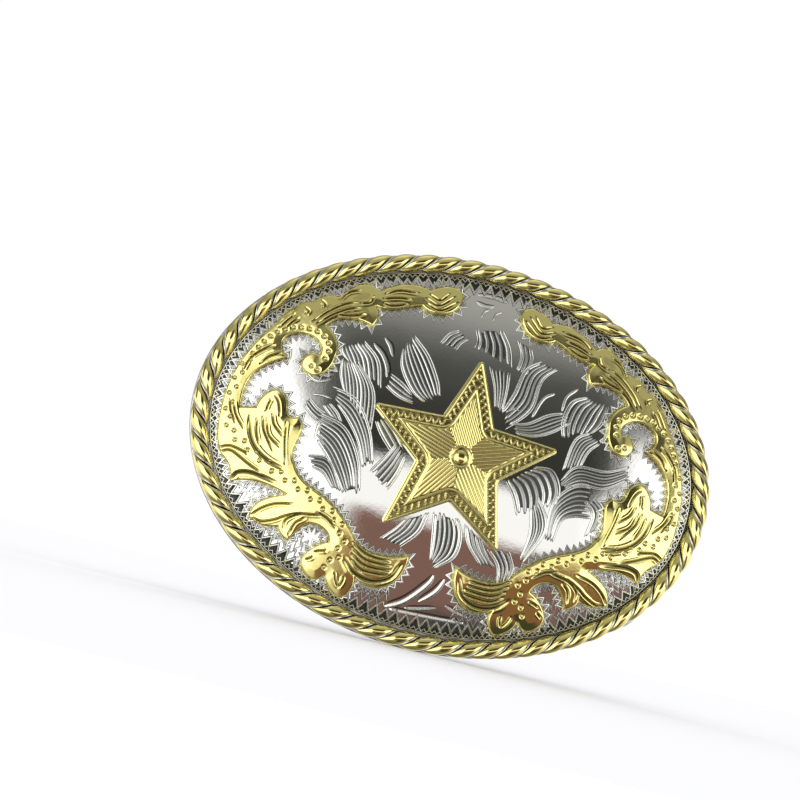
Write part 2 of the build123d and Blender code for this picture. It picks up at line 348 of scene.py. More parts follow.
# The ground between the teeth is painted dark as shade by its last value.
ground_valley, ground_tip, ground_edge, ground_up, ground_shade = 1.0, 2.45, 0.12, 0.02, 0.9
line_inset, line_width, line_high, line_points = 0.16, 0.3, 0.8, 360
filler_width, filler_stray = 0.44, 0.16
filler_rows = [(2.3, 3.7, 34), (3.5, 4.9, 32), (4.7, 6.1, 30)]
filler_spans = [(196, 262), (344, 278)]

band = even_turns(face_a, face_b, 2 * border_teeth)
teeth_ground = np.where(np.arange(2 * border_teeth) % 2, ground_valley, ground_tip)
edge_line = oval_inside(even_turns(face_a, face_b, line_points), np.full(line_points, line_inset))
ground_rim = oval_inside(band, 0 * band + ground_edge)
border = [
    ring_ground(oval_inside(band, teeth_ground), ground_rim, ground_up, ground_shade),
    zigzag(border_teeth, **bold_row),
    zigzag(2 * border_teeth, **fine_row),
    cut(edge_line, line_width, closed=True, high=line_high),
]
border += [filler(*span, *row) for span in filler_spans for row in filler_rows]
piece("border_wriggle_cuts", joined(border), cut_silver, "face_plate", sharp=180)

# ---- Engraved leaves ---------------------------------------------
# Bright-cut leaves over the middle of the face: fans of long strokes cut side by side on a dulled floor
# painted dark as shade, each leaf between two outlines. A few wide single strokes fill the gaps.

leaf_spread = 1.2
outline_width = 0.42
stroke_widths = (0.5, 1.0)
stroke_stray = 2.6
stroke_tones = (0.05, 0.42, 0.28, 0.5, 0.15)


def through(points, count):
    """A smooth line through points, Catmull-Rom: its tangent at each is half the chord of the neighbours."""
    p = np.asarray(points, float)
    p = np.vstack([2 * p[0] - p[1], p, 2 * p[-1] - p[-2]])
    u = np.linspace(0, len(p) - 3, count)
    k = np.minimum(u.astype(int), len(p) - 4)
    t = (u - k)[:, None]
    a, b, c, d = p[k], p[k + 1], p[k + 2], p[k + 3]
    return b + 0.5 * t * (c - a + t * (2 * a - 5 * b + 4 * c - d + t * (3 * (b - c) + d - a)))


def point_at(reach, run, path):
    """The points of a path where its running length has each value of reach."""
    return np.stack([np.interp(reach, run, path[:, k]) for k in (0, 1)], 1)


def leaf_ground(a, b, up=0.03, dark=0.85):
    """The dulled floor of a leaf, painted dark as shade: a strip on the dome between its edges, pinched at
    the ends.
    """
    near_end = np.minimum(np.arange(len(a)), np.arange(len(a))[::-1]) / 5
    share = np.array([0.0, 0.04, 0.35, 0.65, 0.96, 1.0, 0.5])
    share = 0.5 + (share - 0.5) * np.clip(near_end, 0.35, 1)[:, None]
    lift = np.array([foot_up, up, up, up, up, foot_up, keel_up])
    flat = a[:, None] * (1 - share[..., None]) + b[:, None] * share[..., None]
    return lathe(on_dome(flat, lift), np.full(flat.shape[:2], dark))


def leaf(side_a, side_b, strokes, steps=33):
    """Strokes between two edges, as wide as the space for each: (1 - f) A + f B, less a share of its own
    ends. The edges are spread by leaf_spread from their middle, so that neighbouring leaves nearly
    touch."""
    a, b = through(side_a, steps), through(side_b, steps)
    middle = (a.mean(0) + b.mean(0)) / 2
    a, b = middle + leaf_spread * (a - middle), middle + leaf_spread * (b - middle)
    width = np.clip(np.linalg.norm(a - b, axis=1).mean() / strokes, *stroke_widths)
    cuts = [leaf_ground(a[2:-2], b[2:-2]), cut(a[1:-1], outline_width), cut(b[1:-1], outline_width)]
    for k in range(strokes):
        f = (k + 0.5) / strokes
        start, stop = rng.uniform(0, stroke_stray), steps - 1 - rng.uniform(0, stroke_stray)
        line = point_at(np.linspace(start, stop, 22), np.arange(steps), (1 - f) * a + f * b)
        cuts.append(cut(line, width * rng.uniform(0.85, 1.12), high=rng.uniform(0.8, 1.15),
                        tone=stroke_tones[k % len(stroke_tones)]))
    return cuts


# Each leaf: the points along its one edge, those along the other, and the number of strokes between them.
leaves = [
    ([(-24.4, 13.4), (-24.2, 12.6), (-23.0, 11.6)], [(-21.4, 15.2), (-18.4, 12.6), (-17.2, 8.4)], 8),
    ([(-23.7, 11.0), (-23.5, 8.6), (-22.4, 6.2)], [(-21.7, 11.3), (-18.0, 7.2), (-17.1, 1.0)], 9),
    ([(-22.8, 3.1), (-20.4, 0.8), (-18.2, -2.0), (-16.6, -5.6)],
     [(-24.2, 5.3), (-20.0, 4.3), (-17.0, 0.4), (-15.2, -4.6)], 5),
    ([(-24.6, -3.8), (-22.4, -6.0), (-20.3, -8.6), (-18.6, -10.8)],
     [(-25.2, 0.0), (-20.8, -1.2), (-17.8, -5.2), (-16.4, -10.2)], 8),
    ([(-24.6, -8.4), (-22.6, -9.0), (-20.6, -10.9)], [(-25.6, -6.9), (-22.2, -6.9), (-19.4, -11.2)], 4),
    ([(-28.6, 1.8), (-27.2, 0.6), (-25.8, -0.2)], [(-28.2, 3.2), (-26.4, 1.8), (-24.8, 1.2)], 3),
    ([(-25.4, 2.5), (-24.4, 1.6), (-23.4, 1.0)], [(-24.4, 3.0), (-22.9, 1.9), (-22.0, 0.6)], 3),
    ([(-13.6, 15.6), (-13.2, 12.6), (-11.0, 9.6), (-8.6, 8.2)],
     [(-12.6, 18.0), (-9.6, 15.4), (-7.4, 12.0), (-6.6, 9.6)], 7),
    ([(-15.4, 8.6), (-13.0, 7.4), (-10.6, 7.0)], [(-15.0, 10.6), (-12.8, 9.6), (-11.2, 8.4)], 3),
    ([(-14.4, -6.6), (-12.6, -3.6), (-11.4, -1.2)], [(-11.2, -8.6), (-10.2, -6.0), (-9.6, -3.0)], 5),
    ([(-7.6, 18.8), (-6.6, 20.6), (-5.0, 21.6)], [(-5.0, 18.4), (-4.4, 19.6), (-3.4, 20.6)], 4),
    ([(-1.6, 22.6), (-1.0, 21.0), (-1.2, 19.6)], [(2.4, 23.6), (4.2, 21.0), (5.0, 18.0)], 5),
    ([(2.0, 16.4), (3.4, 13.4), (4.2, 10.2)], [(5.4, 16.2), (5.6, 13.2), (5.4, 9.8)], 5),
    ([(11.0, 19.5), (8.4, 17.4), (7.4, 13.5), (6.2, 10.2)],
     [(13.6, 19.0), (11.4, 16.4), (10.6, 11.6), (7.0, 7.4)], 5),
    ([(18.0, 10.8), (15.4, 8.4), (12.6, 6.9), (9.6, 6.6)],
     [(16.4, 11.6), (13.8, 10.6), (11.0, 8.6), (8.4, 7.9)], 5),
    ([(20.8, 15.6), (18.3, 14.1), (17.5, 11.1), (18.1, 8.3)], [(24.3, 15.1), (23.8, 12.1), (22.3, 10.1)], 7),
    ([(22.3, 9.4), (20.1, 7.6), (19.3, 2.4)], [(24.3, 8.2), (22.8, 6.5), (22.0, 4.0)], 6),
    ([(19.8, 0.1), (21.8, 3.1), (26.6, 3.6), (30.4, 5.4)],
     [(20.6, -0.6), (23.3, 0.6), (26.8, 0.8), (30.6, 3.4)], 6),
    ([(19.2, -9.8), (19.0, -4.4), (21.4, -1.0), (24.4, -0.2)],
     [(20.4, -10.2), (21.0, -6.6), (22.8, -5.4), (25.6, -5.0)], 7),
    ([(15.0, -6.4), (15.8, -10.4), (15.4, -14.6)], [(15.6, -4.4), (18.2, -8.9), (15.8, -15.2)], 6),
    ([(10.0, -2.4), (11.6, -4.4), (13.0, -7.2)], [(13.6, 0.6), (16.6, 0.8), (18.4, -1.6), (18.2, -4.4)], 7),
    ([(-1.6, -11.4), (-0.9, -15.2), (-0.2, -19.0)],
     [(2.0, -11.4), (3.4, -14.2), (3.2, -17.4), (0.6, -19.8)], 6),
    ([(-6.6, -13.6), (-7.8, -15.4), (-9.6, -17.4)], [(-3.4, -11.6), (-4.0, -15.0), (-6.4, -18.0)], 5),
    ([(4.4, -12.0), (5.6, -15.0), (8.2, -17.6)], [(7.4, -13.8), (9.0, -16.0), (10.6, -17.4)], 4),
    ([(-15.6, 2.0), (-14.2, 0.0), (-12.0, -2.2)], [(-14.0, 3.2), (-11.6, 1.8), (-9.8, -0.4)], 4),
    ([(6.0, 22.6), (7.0, 20.4), (6.8, 17.8)], [(8.4, 21.8), (9.0, 20.0), (8.4, 17.4)], 3),
    ([(25.2, 12.6), (25.6, 10.8), (25.0, 8.8)], [(27.6, 12.4), (28.2, 10.6), (27.4, 8.2)], 4),
    ([(24.6, -2.6), (26.4, -4.4), (26.0, -8.0)], [(27.0, -1.6), (28.8, -3.4), (28.2, -6.2)], 4),
    ([(-29.4, 7.2), (-27.6, 6.6), (-25.8, 7.2)], [(-28.4, 9.6), (-26.6, 9.2), (-25.0, 9.4)], 3),
    ([(9.4, -15.2), (11.6, -17.4), (12.4, -20.0)], [(12.8, -14.6), (14.2, -17.2), (13.8, -19.2)], 4),
]
# Each single stroke: the points along it, and its width.
single_strokes = [
    ([(-27.8, 4.0), (-26.1, 4.2), (-24.4, 4.0)], 0.6),
    ([(-25.4, -0.4), (-25.6, -2.0), (-25.5, -3.6)], 0.6),
    ([(-19.4, 15.6), (-17.4, 14.1), (-16.0, 11.9), (-15.8, 10.1)], 1.3),
    ([(-17.7, 17.1), (-16.4, 15.9), (-15.6, 14.1)], 1.2),
    ([(14.5, 15.1), (12.6, 13.6), (11.2, 9.8)], 0.9),
    ([(18.6, 17.1), (16.8, 15.1), (16.4, 12.3)], 0.9),
    ([(6.4, 9.6), (7.4, 10.4), (8.6, 10.4)], 0.8),
    ([(-3.0, 29.3), (0.0, 29.6), (2.8, 29.3)], 1.15),
    ([(-3.0, 27.9), (-1.2, 27.5), (0.4, 27.9)], 1.12),
    ([(-1.6, 25.2), (-1.2, 26.4), (-0.4, 27.0)], 0.6),
    ([(0.6, 25.2), (1.0, 26.5), (2.0, 27.2)], 0.6),
    ([(-6.2, -29.0), (-3.0, -27.0), (0.0, -23.4), (0.8, -21.6)], 1.9),
    ([(-0.6, -26.8), (1.8, -24.2), (2.9, -21.8)], 1.7),
    ([(-2.6, -28.4), (0.2, -27.8), (2.8, -27.1)], 1.15),
    ([(-5.2, -29.2), (2.0, -28.9), (8.6, -28.5)], 1.3),
    ([(4.4, -26.3), (6.4, -26.9), (8.8, -27.4)], 1.2),
]
strokes = [one for edges in leaves for one in leaf(*edges)]
strokes += [cut(through(line, 26), width) for line, width in single_strokes]
piece("leaf_cuts", joined(strokes), cut_silver, "face_plate", sharp=180)

# ---- Rope edge ---------------------------------------------------
# A rope frame laid round the face: two thick gilt brass wires, rolled a little flat, twisted together with
# a thin silver-plated wire against one side of each groove, bent round the oval and soldered to the base
# plate.

low, high = (np.array(corner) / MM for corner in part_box("rope_edge"))
rope_radius = 1.6
rope_a, rope_b = (high - low)[[0, 2]] / 2 - rope_radius
rope_depth = 2.5
rope_turns = 30
hollow_reach, open_reach = 1.04, 1.38


def strand(offset, deep, wide, phase, sides, stations=1080):
    """A twisted wire on the oval: centre C(s) + offset * (cos q N + sin q F), q = turns * 2 pi s + phase,
    where N points out of the oval and F to the front. A small oval, deep by wide, stands square to that
    line. It is painted dark as shade where it lies close to C, in the hollows between the wires."""
    t = even_turns(rope_a, rope_b, stations)
    centre = np.stack([rope_a * np.cos(t), np.full(stations, -rope_depth), rope_b * np.sin(t)], 1)
    out = unit(np.stack([np.cos(t) / rope_a, np.zeros(stations), np.sin(t) / rope_b], 1))
    front = np.array([0.0, -1.0, 0.0])
    q = (2 * pi * rope_turns * np.arange(stations) / stations + phase)[:, None]
    away = np.cos(q) * out + np.sin(q) * front
    line = centre + offset * away
    along = unit(np.roll(line, -1, axis=0) - np.roll(line, 1, axis=0))
    away = unit(away - np.sum(away * along, axis=1, keepdims=True) * along)
    across = np.cross(along, away)
    turn = np.linspace(0, 2 * pi, sides, endpoint=False)[:, None]
    grid = line[:, None] + deep * np.cos(turn) * away[:, None] + wide * np.sin(turn) * across[:, None]
    reach = np.linalg.norm(grid - centre[:, None], axis=2)
    return looped(grid, np.clip((open_reach - reach) / (open_reach - hollow_reach), 0, 1))


# Bright gilt: thin gold over polished brass, a greenish yellow, painted brown as shade in the hollows.
bright_gilt = plated("bright_gilt_plate", "#FBEE9A", "#3E2E10", 0.09, 0.45, wave=0.10, worn=0.04)
gilt_wires = [strand(offset=0.80, deep=0.79, wide=1.06, phase=pi * k, sides=20) for k in range(2)]
groove_turn = pi / 2 + 0.16
silver_wires = [strand(offset=1.16, deep=0.17, wide=0.17, phase=pi * k + groove_turn, sides=8)
                for k in range(2)]
piece("rope_gilt_wires", joined(gilt_wires), bright_gilt, "rope_edge", sharp=180)
piece("rope_silver_wires", joined(silver_wires), bright_silver, "rope_edge", sharp=180)

# ---- Scrolls -----------------------------------------------------
# Two leafy scrolls, left and right, pierced from brass sheet, domed to the face, engraved and gilt. Ribs
# run up each leaf, and punched beads follow the stem and the curl. The second mirrors the first.

relief_cell, relief_sunk = 0.12, 0.15
pillow_up, pillow_rise, pillow_reach, scroll_edge = 0.74, 0.12, 1.6, 0.28
groove_deep, lip_up, strong_half, fine_half = 0.24, 0.06, 0.26, 0.15
bead_radius, bead_up, bead_ring, bead_pitch, stem_pitch, stem_stagger = 0.26, 0.15, 0.34, 1.45, 2.8, 0.45


def rim_lines(node):
    """The ends, as (x, z) in mm, of the edges where a node's front face turns down into its side wall."""
    solid = bmesh.new()
    solid.from_mesh(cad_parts[node].data)
    bmesh.ops.remove_doubles(solid, verts=solid.verts, dist=0.001 * MM)
    walls = {f for f in solid.faces if abs(f.normal.y) < 0.3 and f.normal.length > 0.5}
    lines = [[(v.co.x / MM, v.co.z / MM) for v in edge.verts] for edge in solid.edges
             if any(f in walls for f in edge.link_faces) and any(f.normal.y < -0.7 for f in edge.link_faces)]
    solid.free()
    return np.array(lines)


def inside(points, lines):
    """True where a ray to the right crosses the outline an odd number of times."""
    odd = np.zeros(len(points), bool)
    for (ax, az), (bx, bz) in lines:
        spans = (az > points[:, 1]) != (bz > points[:, 1])
        slope = (bx - ax) / (bz - az) if bz != az else 0.0
        odd ^= spans & (points[:, 0] < ax + slope * (points[:, 1] - az))
    return odd


def nearest(points, lines):
    """The distance to the nearest of some straight lines, the point there, and its place in the row."""
    best = np.full(len(points), np.inf)
    spot, where = points.copy(), np.zeros(len(points))
    for k, (a, b) in enumerate(lines):
        along = b - a
        t = np.clip((points - a) @ along / (along @ along + 1e-12), 0, 1)
        foot = a + t[:, None] * along
        gap = np.linalg.norm(points - foot, axis=1)
        closer = gap < best
        best[closer], spot[closer], where[closer] = gap[closer], foot[closer], k + t[closer]
    return best, spot, where


def relief(lines, cell, height):
    """A closed plate on the dome over the inside of an outline: a square grid whose rim points move to the
    outline, with depth dome + height(point, distance from the rim) in front, and a wall down into the
    dome."""
    low, high = lines.min((0, 1)) - 2 * cell, lines.max((0, 1)) + 2 * cell
    x, z = np.meshgrid(*[np.arange(a, b, cell) for a, b in zip(low, high)], indexing="ij")
    centres = np.stack([x[:-1, :-1], z[:-1, :-1]], -1) + cell / 2
    keep = inside(centres.reshape(-1, 2), lines).reshape(centres.shape[:2])
    index = np.arange(x.size).reshape(x.shape)
    quads = np.stack([index[:-1, :-1], index[1:, :-1], index[1:, 1:], index[:-1, 1:]], -1)[keep]
    used, quads = np.unique(quads, return_inverse=True)
    quads = quads.reshape(-1, 4)
    points = np.stack([x.ravel(), z.ravel()], 1)[used]
    edges = np.concatenate([quads[:, [k, (k + 1) % 4]] for k in range(4)])
    _, first, count = np.unique(np.sort(edges, 1), axis=0, return_index=True, return_counts=True)
    rim = edges[first[count == 1]]
    away, spot, _ = nearest(points, lines)
    on_rim = np.unique(rim)
    points[on_rim], away[on_rim] = spot[on_rim], 0.0
    up, dark = height(points, away)
    n = len(points)
    walls = np.stack([rim[:, 1], rim[:, 0], rim[:, 0] + n, rim[:, 1] + n], 1)
    return shell(np.concatenate([on_dome(points, up), on_dome(points, -relief_sunk)]),
                 np.concatenate([quads, quads[:, ::-1] + n, walls]), recess=np.concatenate([dark, dark]))


def edge_round(away, radius):
    """Drop of a rounded edge: radius * (1 - sqrt(1 - (1 - away / radius)^2)), and none past the radius."""
    return radius * (1 - np.sqrt(1 - (1 - np.minimum(away / radius, 1)) ** 2))


def ridge(gap, half):
    """A rounded ridge along a line, by the distance from it: exp(-(gap / half)^2)."""
    return np.exp(-(gap / half) ** 2)


def beads(path, pitch, shift=0.0, stagger=0.0):
    """Places for beads along a smooth path, pitch mm apart, moved sideways by the stagger."""
    line = through(path, 400)
    run = length_along(line)
    at = np.arange(shift * pitch, run[-1], pitch)
    ahead = unit(point_at(at, run, np.gradient(line, axis=0)))
    return point_at(at, run, line) + stagger * np.stack([-ahead[:, 1], ahead[:, 0]], 1)


strong_ribs = [
    [(-37.5, -2.2), (-36.8, -5.2), (-35.1, -7.7), (-32.5, -9.3), (-29.2, -10.1)],
    [(-38.1, -14.5), (-37.1, -12.5), (-34.4, -12.0), (-29.9, -12.7)],
    [(-15.3, -22.6), (-13.1, -24.6), (-9.7, -25.3), (-6.6, -24.0), (-5.2, -21.0)],
]
fine_ribs = [
    [(-11.8, 26.8), (-9.6, 26.2), (-8.0, 28.0)],
    [(-12.2, 25.9), (-9.6, 25.2), (-7.0, 27.6)],
    [(-11.8, 24.9), (-9.2, 24.4), (-6.4, 26.6)],
    [(-19.6, 24.6), (-17.2, 26.0), (-13.4, 26.5)],
    [(-19.8, 23.7), (-17.2, 24.6), (-14.6, 25.0)],
    [(-19.4, 23.0), (-17.6, 23.0), (-15.0, 24.0)],
    [(-27.2, 21.4), (-25.8, 23.4), (-23.6, 24.4)],
    [(-30.8, 16.6), (-28.8, 18.9), (-26.2, 21.0), (-24.0, 21.9)],
    [(-30.0, 16.4), (-28.0, 18.5), (-25.4, 20.3), (-23.2, 21.1)],
    [(-27.0, 18.8), (-24.2, 19.4), (-22.2, 20.2)],
    [(-23.4, 21.9), (-21.7, 22.6), (-21.3, 23.9)],
    [(-30.2, 20.8), (-29.4, 20.2), (-29.5, 19.4)],
    [(-32.7, 18.8), (-32.0, 18.3), (-32.3, 17.7)],
    [(-36.8, 15.4), (-35.6, 17.2), (-33.8, 18.8)],
    [(-36.4, 14.0), (-35.2, 15.8), (-34.2, 17.2)],
    [(-35.4, 14.0), (-34.4, 15.6), (-33.4, 16.6)],
    [(-40.8, 4.6), (-40.0, 7.4), (-38.3, 9.4), (-36.4, 10.8)],
    [(-38.0, 7.0), (-36.8, 8.6), (-34.6, 9.8)],
    [(-41.6, -0.1), (-41.0, -2.1), (-39.6, -4.3)],
    [(-40.8, -0.7), (-39.8, -2.9), (-37.9, -4.9)],
    [(-36.2, -2.4), (-35.8, -4.6), (-34.8, -6.9)],
    [(-35.3, -1.8), (-34.5, -4.3), (-32.1, -7.5)],
    [(-34.5, -2.4), (-33.5, -4.9), (-31.1, -6.5)],
    [(-33.8, -1.0), (-33.0, -2.9), (-31.0, -4.6)],
    [(-31.1, -2.1), (-30.6, -5.2), (-29.5, -9.4)],
    [(-34.7, 1.4), (-35.0, 0.2), (-35.1, -1.0)],
    [(-34.1, 2.1), (-33.2, 1.0), (-32.5, -1.2)],
    [(-41.5, -9.1), (-39.6, -8.3), (-37.1, -8.7), (-36.2, -9.1)],
    [(-41.0, -9.7), (-39.1, -9.1), (-35.7, -10.6), (-33.0, -11.7)],
    [(-33.2, -19.4), (-31.6, -17.6), (-29.3, -16.2), (-26.2, -15.5)],
    [(-32.6, -19.6), (-30.9, -19.8), (-28.7, -18.9), (-27.2, -17.9), (-24.3, -16.5)],
    [(-27.0, -20.2), (-26.9, -18.5), (-24.9, -17.0), (-22.4, -16.5), (-20.9, -16.2)],
    [(-25.8, -20.9), (-25.2, -18.7), (-23.8, -17.5)],
    [(-22.1, -15.9), (-20.1, -16.5), (-18.1, -17.9)],
    [(-21.8, -24.4), (-21.2, -24.0), (-20.7, -23.7)],
    [(-20.7, -22.7), (-19.7, -22.3), (-18.7, -22.1)],
    [(-16.3, -25.5), (-15.8, -26.8), (-15.0, -27.8)],
    [(-15.0, -27.8), (-14.6, -26.8), (-14.5, -25.8)],
]
fine_ribs += [[(-14.5 + 0.15 * k, -19.5 - k), (-11.4, -21.0 - 0.95 * k), (-7.4 + 0.4 * k, -21.2 - 0.8 * k)]
              for k in range(4)]
curl_beads = [(-39.6, 8.6), (-38.2, 11.2), (-36.2, 13.4), (-33.6, 14.9), (-31.2, 15.2), (-29.0, 14.9),
              (-27.3, 13.6), (-26.9, 11.6), (-27.6, 9.6)]
stem_beads = [(-40.2, 7.6), (-41.2, 4.0), (-41.5, 0.0), (-41.2, -3.4), (-39.6, -6.0), (-36.8, -7.6),
              (-33.6, -9.2), (-30.4, -10.8), (-26.6, -12.2), (-22.6, -14.0), (-19.4, -15.6),
              (-17.2, -17.6), (-16.4, -20.4), (-17.0, -23.4), (-19.4, -25.0)]
bead_spots = np.concatenate([
    beads(curl_beads, bead_pitch),
    beads(stem_beads, stem_pitch, 0.0, stem_stagger),
    beads(stem_beads, stem_pitch, 0.5, -stem_stagger),
    [(-29.2, 8.8), (-28.0, 8.4)],
])


def scroll_height(points, away):
    """A pillow that rises from its rounded edge, less a groove exp(-(d / w)^2) along each rib line, plus a
    low lip beside it, plus half-round beads, each in a ring groove. The grooves are the recess, painted dark
    as shade."""
    up = pillow_up + pillow_rise * np.minimum(away / pillow_reach, 1) - edge_round(away, scroll_edge)
    groove, lip = np.zeros(len(points)), np.zeros(len(points))
    for paths, half in ((strong_ribs, strong_half), (fine_ribs, fine_half)):
        for path in paths:
            line = through(path, 17)
            gap, _, where = nearest(points, np.stack([line[:-1], line[1:]], 1))
            fade = np.clip(5.5 * where / 16 * (1 - where / 16) + 0.1, 0, 1)
            groove = np.maximum(groove, fade * ridge(gap, half))
            lip = np.maximum(lip, fade * ridge(gap - 2.3 * half, 1.1 * half))
    gap = np.full(len(points), np.inf)
    for spot in bead_spots:
        gap = np.minimum(gap, np.linalg.norm(points - spot, axis=1))
    up += bead_up * np.sqrt(np.clip(1 - (gap / bead_radius) ** 2, 0, 1))
    groove = np.maximum(groove, 0.45 * ridge(gap - bead_ring, 0.1))
    groove *= np.minimum(away / 0.25, 1)
    return up - groove_deep * groove + lip_up * lip * (1 - groove), groove


scroll_rim = rim_lines("scroll_left")
left_scroll = relief(scroll_rim, relief_cell, scroll_height)
right_scroll = shell(left_scroll[0] * (-1, 1, 1), left_scroll[1], recess=left_scroll[3])
piece("scroll_left_gilt", left_scroll, bright_gilt, "scroll_left")
piece("scroll_right_gilt", right_scroll, bright_gilt, "scroll_right")

# ---- Rays round the scrolls --------------------------------------
# A wriggle cut that follows each scroll's outline on the silver face, with its teeth pointing away from the
# gilt on a ground that is dulled a little and painted a little dark as shade.

ray_pitch, ray_tip, ray_valley, ray_stray, ray_width = 1.4, 1.25, 0.15, 0.2, 0.44
ray_ground_up, ray_ground_shade, under_scroll, rim_clear = 0.03, 0.45, 0.15, 0.9


def in_order(lines):
    """The outline's points one after another: each line is followed by the one that begins where it ends."""
    ends = {}
    for a, b in lines.round(4).tolist():
        ends.setdefault(tuple(a), []).append(tuple(b))
        ends.setdefault(tuple(b), []).append(tuple(a))
    first = next(iter(ends))
    chain, before, here = [first], first, ends[first][0]
    while here != first:
        chain.append(here)
        before, here = here, next(p for p in ends[here] if p != before)
    return np.array(chain)


outline = in_order(scroll_rim)
around = np.vstack([outline, outline[:1]])
run = length_along(around)
ray_count = 2 * int(run[-1] / ray_pitch)
foot = point_at(np.arange(ray_count) / ray_count * run[-1], run, around)
ahead = unit(np.roll(foot, -1, axis=0) - np.roll(foot, 1, axis=0))
outward = np.stack([ahead[:, 1], -ahead[:, 0]], 1)
outward *= -1 if inside(foot + 0.2 * outward, scroll_rim).mean() > 0.5 else 1
ray_reach = np.where(np.arange(ray_count) % 2, ray_tip, ray_valley)
ray_reach = ray_reach * rng.uniform(1 - ray_stray, 1 + ray_stray, ray_count)
rays = foot + ray_reach[:, None] * outward
past_rim = np.maximum(1, np.hypot(rays[:, 0] / (face_a - rim_clear), rays[:, 1] / (face_b - rim_clear)))
rays /= past_rim[:, None]
under_gilt = foot - under_scroll * outward
ray_cuts = []
for flip in ((1, 1), (-1, 1)):
    ray_cuts += [ring_ground(rays * flip, under_gilt * flip, ray_ground_up, ray_ground_shade),
                 cut(rays * flip, ray_width, closed=True)]
piece("scroll_ray_cuts", joined(ray_cuts), cut_silver, "face_plate", sharp=180)

# ---- Star badge --------------------------------------------------
# A five-pointed star pierced from thicker brass, gilt, and fixed in the middle of the face. A worked band
# with a running wave follows its edge, and the middle is lined with a ruling graver along each arm.

star_tip, star_notch, star_z, star_core = 18.5, 8.0, -0.5, 5
star_up, star_edge, ridge_up, ridge_places = 1.42, 0.3, 0.20, ((0.32, 0.22), (2.15, 0.17))
band_from, band_to, band_down = 0.55, 1.95, 0.06
wave_place, wave_swing, wave_pitch, wave_half = 1.22, 0.36, 1.25, 0.17
ruled_from, ruled_ring, ruled_pitch, ruled_up = 2.4, 2.0, 0.62, 0.10
boss_radius, boss_up, ring_radius, ring_half = 1.25, 0.42, 1.8, 0.2


def star_height(points, away):
    """Folds the angle into one arm: u runs along the arm and v across it. Band and ridges depend on the
    distance from the rim, the wave is swing * sin(2 pi s / pitch) with s along the edge, the ruled lines
    are ridges in v, and a boss with a ring round it depends on the radius."""
    x, z = points[:, 0], points[:, 1] - star_z
    turn = np.mod(np.arctan2(x, z) + pi / 5, 2 * pi / 5) - pi / 5
    radius = np.hypot(x, z)
    u, v = radius * np.cos(turn), radius * np.sin(turn)
    side = unit(np.array([star_notch * cos(pi / 5) - star_tip, star_notch * sin(pi / 5)]))
    s = (u - star_tip) * side[0] + np.abs(v) * side[1]
    up = np.full(len(points), star_up)
    for place, half in ridge_places:
        up += ridge_up * ridge(away - place, half)
    wave = wave_place + wave_swing * np.sin(2 * pi * s / wave_pitch)
    in_band = (away > band_from) & (away < band_to)
    link = ridge(away - wave, wave_half) * in_band
    up += ridge_up * link - band_down * in_band
    lined = np.clip((away - ruled_from) / 0.2, 0, 1) * np.clip((radius - ruled_ring) / 0.15, 0, 1)
    rule = np.abs(np.sin(pi * v / ruled_pitch))
    up += lined * ruled_up * (1 + rule)
    up += boss_up * np.sqrt(np.clip(1 - (radius / boss_radius) ** 2, 0, 1))
    up += ridge_up * ridge(radius - ring_radius, ring_half)
    # Painted shade: the band's ground between the wave links, the valleys of the ruled lines and a ring at
    # the foot of the boss.
    dark = 0.75 * in_band * (1 - link) + lined * 0.55 * (1 - rule) ** 2
    dark += 0.85 * ridge(radius - boss_radius - 0.13, 0.14)
    return up - edge_round(away, star_edge), np.clip(dark, 0, 1) * np.clip(away / star_edge, 0, 1)


# Slivers at the crown of the CAD star count as lines too: only those out past the middle belong to its rim.
star_rim = rim_lines("star_badge")
star_rim = star_rim[np.linalg.norm(star_rim, axis=2).min(1) > star_core]
piece("star_badge_gilt", relief(star_rim, relief_cell, star_height), bright_gilt, "star_badge")

# ---- Hinge bracket and rivets ------------------------------------
# Behind the plate: a bracket of rolled steel strip with a barrel for the bail, and the prong's pad, each
# held by rivets through the base plate. All of it is barrel plated in nickel and comes out satin.

flat_angle, crisp_angle = radians(0.6), radians(32)


def eased(node, width):
    """A copy of a CAD node, merged, with flat regions made whole and sharp edges broken by a small bevel."""
    part = bmesh.new()
    part.from_mesh(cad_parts[node].data)
    bmesh.ops.remove_doubles(part, verts=part.verts, dist=0.002 * MM)
    bmesh.ops.dissolve_limit(part, angle_limit=flat_angle, verts=part.verts, edges=part.edges)
    crisp = [e for e in part.edges if len(e.link_faces) == 2 and e.calc_face_angle(0) > crisp_angle]
    if width:
        bmesh.ops.bevel(part, geom=crisp, offset=width * MM, segments=2, profile=0.5, affect="EDGES",
                        clamp_overlap=True)
    bmesh.ops.triangulate(part, faces=[f for f in part.faces if len(f.verts) > 4])
    mesh = bpy.data.meshes.new(node + "_eased")
    part.to_mesh(mesh)
    part.free()
    mesh.shade_smooth()
    mesh.set_sharp_from_angle(angle=crisp_angle)
    made = bpy.data.objects.new(node + "_plated", mesh)
    bpy.context.scene.collection.objects.link(made)
    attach(made, "buckle")
    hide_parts(node)
    return made


# Satin nickel: a warm grey, duller than silver, with the fine pitted grain of barrel plating.
satin_nickel = plated("satin_nickel_plate", "#C9C4BA", "#6E675C", 0.22, 0.25, wave=0.10, worn=0.3)
bevels = {"bail_bracket": 0.15, "bracket_rivets": 0.0, "prong_base": 0.12, "prong_rivets": 0.0}
for node, bevel in bevels.items():
    eased(node, bevel).data.materials.append(satin_nickel)

# ---- Prong -------------------------------------------------------
# The stud that goes through the strap's hole: turned from brass rod with a thicker foot, leaning towards
# the bail from a collar on the pad, and riveted through the plate by its spigot. Nickel plated with the
# other hardware.

